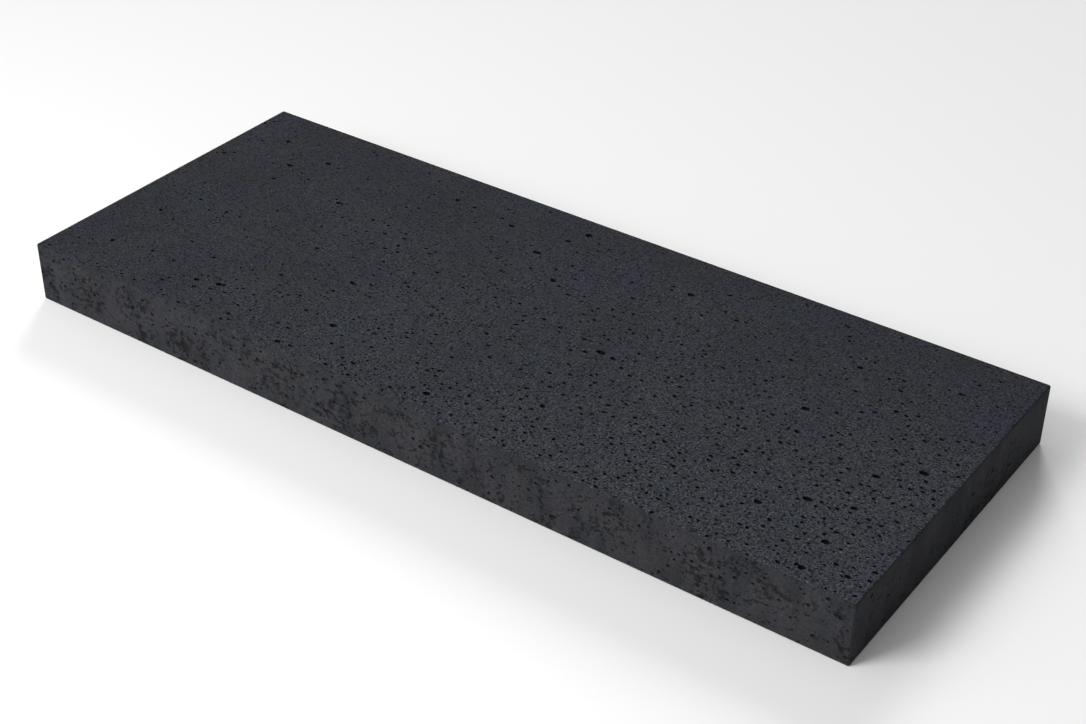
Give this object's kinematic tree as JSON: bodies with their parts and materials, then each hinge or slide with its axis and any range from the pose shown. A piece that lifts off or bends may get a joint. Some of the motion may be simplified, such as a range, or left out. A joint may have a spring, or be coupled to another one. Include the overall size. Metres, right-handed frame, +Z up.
{
  "type": "basalt stone slab",
  "caption": "Square-edged rectangular slab of dark grey vesicular basalt, flat on all sides, pitted with small open gas pores.",
  "frame": {"origin": "middle of the underside, on the surface that the slab lies on", "axes": "+X along the slab's length, +Y from its front face to its back face, +Z up through its thickness"},
  "size_m": [1, 0.4, 0.07],
  "materials": {
    "vesicular_basalt": "dry matt sawn stone with open pores"
  },
  "bodies": {
    "root": {"basalt_slab": "vesicular_basalt"}
  },
  "joints": []
}
